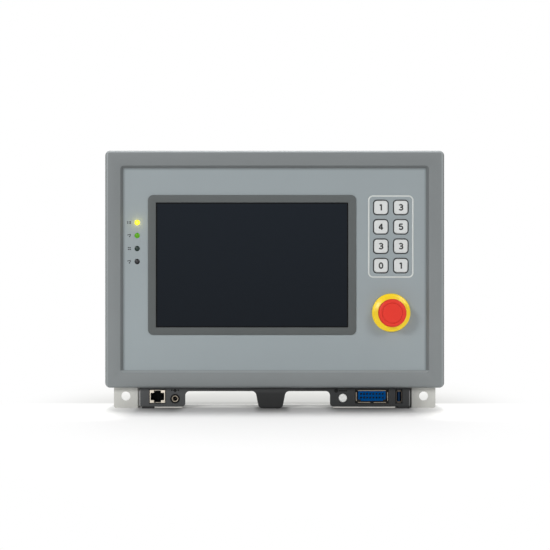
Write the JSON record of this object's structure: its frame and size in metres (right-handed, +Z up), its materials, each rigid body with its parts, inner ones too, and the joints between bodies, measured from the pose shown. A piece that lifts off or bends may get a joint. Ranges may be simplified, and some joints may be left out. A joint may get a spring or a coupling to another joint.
{
  "type": "hmi panel",
  "caption": "Flat operator panel with a dark screen, push keys, status lamps and an emergency stop, on a port tray with folded steel brackets.",
  "frame": {"origin": "middle of the width and depth, on the surface that the panel stands on", "axes": "+X to the right seen from the front, +Y to the back, +Z up; the screen faces -Y"},
  "size_m": [0.34, 0.0662, 0.259],
  "materials": {
    "frame_grey": "satin moulded plastic",
    "fascia_grey": "fine matte film",
    "surround_dark": "matte",
    "screen_glass": "dark, smooth",
    "foam_black": "closed-cell foam",
    "inner_black": "matte",
    "steel_sheet": "zinc-plated sheet",
    "nickel": "nickel plate",
    "board_green": "solder mask",
    "heatsink_metal": "extruded",
    "trim_pale": "satin",
    "mat_rubber": "matte",
    "key_grey": "satin",
    "lens_yellow": "clear tinted, lit",
    "lens_green": "clear tinted",
    "lens_dark_green": "clear tinted",
    "lens_dark_grey": "clear tinted",
    "white_plastic": "satin",
    "stop_yellow": "satin",
    "stop_red": "satin",
    "tray_charcoal": "fine texture",
    "pad_rubber": "matte",
    "socket_metal": "tin plate",
    "contact_gold": "gold plate",
    "connector_blue": "satin"
  },
  "bodies": {
    "housing": {"bezel_frame": "frame_grey", "board_standoffs": "nickel", "bracket_left": "steel_sheet", "bracket_right": "steel_sheet", "dc_jack_body": "inner_black", "dc_jack_contacts": "socket_metal", "display_carrier": "steel_sheet", "display_gasket": "foam_black", "display_surround": "surround_dark", "estop_bushing": "inner_black", "estop_collar": "stop_yellow", "estop_contact_block": "inner_black", "estop_locknut": "inner_black", "fascia_plate": "fascia_grey", "heatsink": "heatsink_metal", "io_board_left": "board_green", "io_board_right": "board_green", "io_contacts": "contact_gold", "io_insulator": "connector_blue", "io_shell": "socket_metal", "key_switches": "inner_black", "keymat": "mat_rubber", "keypad_board": "board_green", "keypad_housing": "inner_black", "keypad_trim": "trim_pale", "lamp_board": "board_green", "lamp_lens_1": "lens_yellow", "lamp_lens_2": "lens_green", "lamp_lens_3": "lens_dark_green", "lamp_lens_4": "lens_dark_grey", "lcd_module": "inner_black", "main_board": "board_green", "port_tray": "tray_charcoal", "rear_shell": "frame_grey", "rj45_contacts": "contact_gold", "rj45_insert": "inner_black", "rj45_shield": "socket_metal", "rubber_feet": "pad_rubber", "service_switch": "inner_black", "status_leds": "white_plastic", "touch_glass": "screen_glass", "usb_shell": "socket_metal", "usb_tongue": "connector_blue"},
    "estop_plunger": {"estop_stem": "inner_black"},
    "estop_head": {"estop_head": "stop_red", "estop_cap_disc": "stop_red"},
    "service_button": {"service_button": "white_plastic"},
    "key_1_left": {"key_1_left": "key_grey"},
    "key_1_right": {"key_1_right": "key_grey"},
    "key_2_left": {"key_2_left": "key_grey"},
    "key_2_right": {"key_2_right": "key_grey"},
    "key_3_left": {"key_3_left": "key_grey"},
    "key_3_right": {"key_3_right": "key_grey"},
    "key_4_left": {"key_4_left": "key_grey"},
    "key_4_right": {"key_4_right": "key_grey"}
  },
  "joints": [
    {"name": "estop_press", "type": "slide", "parent": "housing", "child": "estop_plunger", "axis": [0, 1, 0], "range_m": [0, 0.004]},
    {"name": "estop_twist", "type": "hinge", "parent": "estop_plunger", "child": "estop_head", "pos_m": [0.11675, 0, 0.09655], "axis": [0, 1, 0], "range_deg": [0, 40], "stiffness_Nm_per_rad": 0.03},
    {"name": "service_press", "type": "slide", "parent": "housing", "child": "service_button", "axis": [0, 1, 0], "range_m": [0, 0.0012], "stiffness_N_per_m": 600},
    {"name": "key_1_left_press", "type": "slide", "parent": "housing", "child": "key_1_left", "axis": [0, 1, 0], "range_m": [0, 0.0012], "stiffness_N_per_m": 600},
    {"name": "key_1_right_press", "type": "slide", "parent": "housing", "child": "key_1_right", "axis": [0, 1, 0], "range_m": [0, 0.0012], "stiffness_N_per_m": 600},
    {"name": "key_2_left_press", "type": "slide", "parent": "housing", "child": "key_2_left", "axis": [0, 1, 0], "range_m": [0, 0.0012], "stiffness_N_per_m": 600},
    {"name": "key_2_right_press", "type": "slide", "parent": "housing", "child": "key_2_right", "axis": [0, 1, 0], "range_m": [0, 0.0012], "stiffness_N_per_m": 600},
    {"name": "key_3_left_press", "type": "slide", "parent": "housing", "child": "key_3_left", "axis": [0, 1, 0], "range_m": [0, 0.0012], "stiffness_N_per_m": 600},
    {"name": "key_3_right_press", "type": "slide", "parent": "housing", "child": "key_3_right", "axis": [0, 1, 0], "range_m": [0, 0.0012], "stiffness_N_per_m": 600},
    {"name": "key_4_left_press", "type": "slide", "parent": "housing", "child": "key_4_left", "axis": [0, 1, 0], "range_m": [0, 0.0012], "stiffness_N_per_m": 600},
    {"name": "key_4_right_press", "type": "slide", "parent": "housing", "child": "key_4_right", "axis": [0, 1, 0], "range_m": [0, 0.0012], "stiffness_N_per_m": 600}
  ]
}
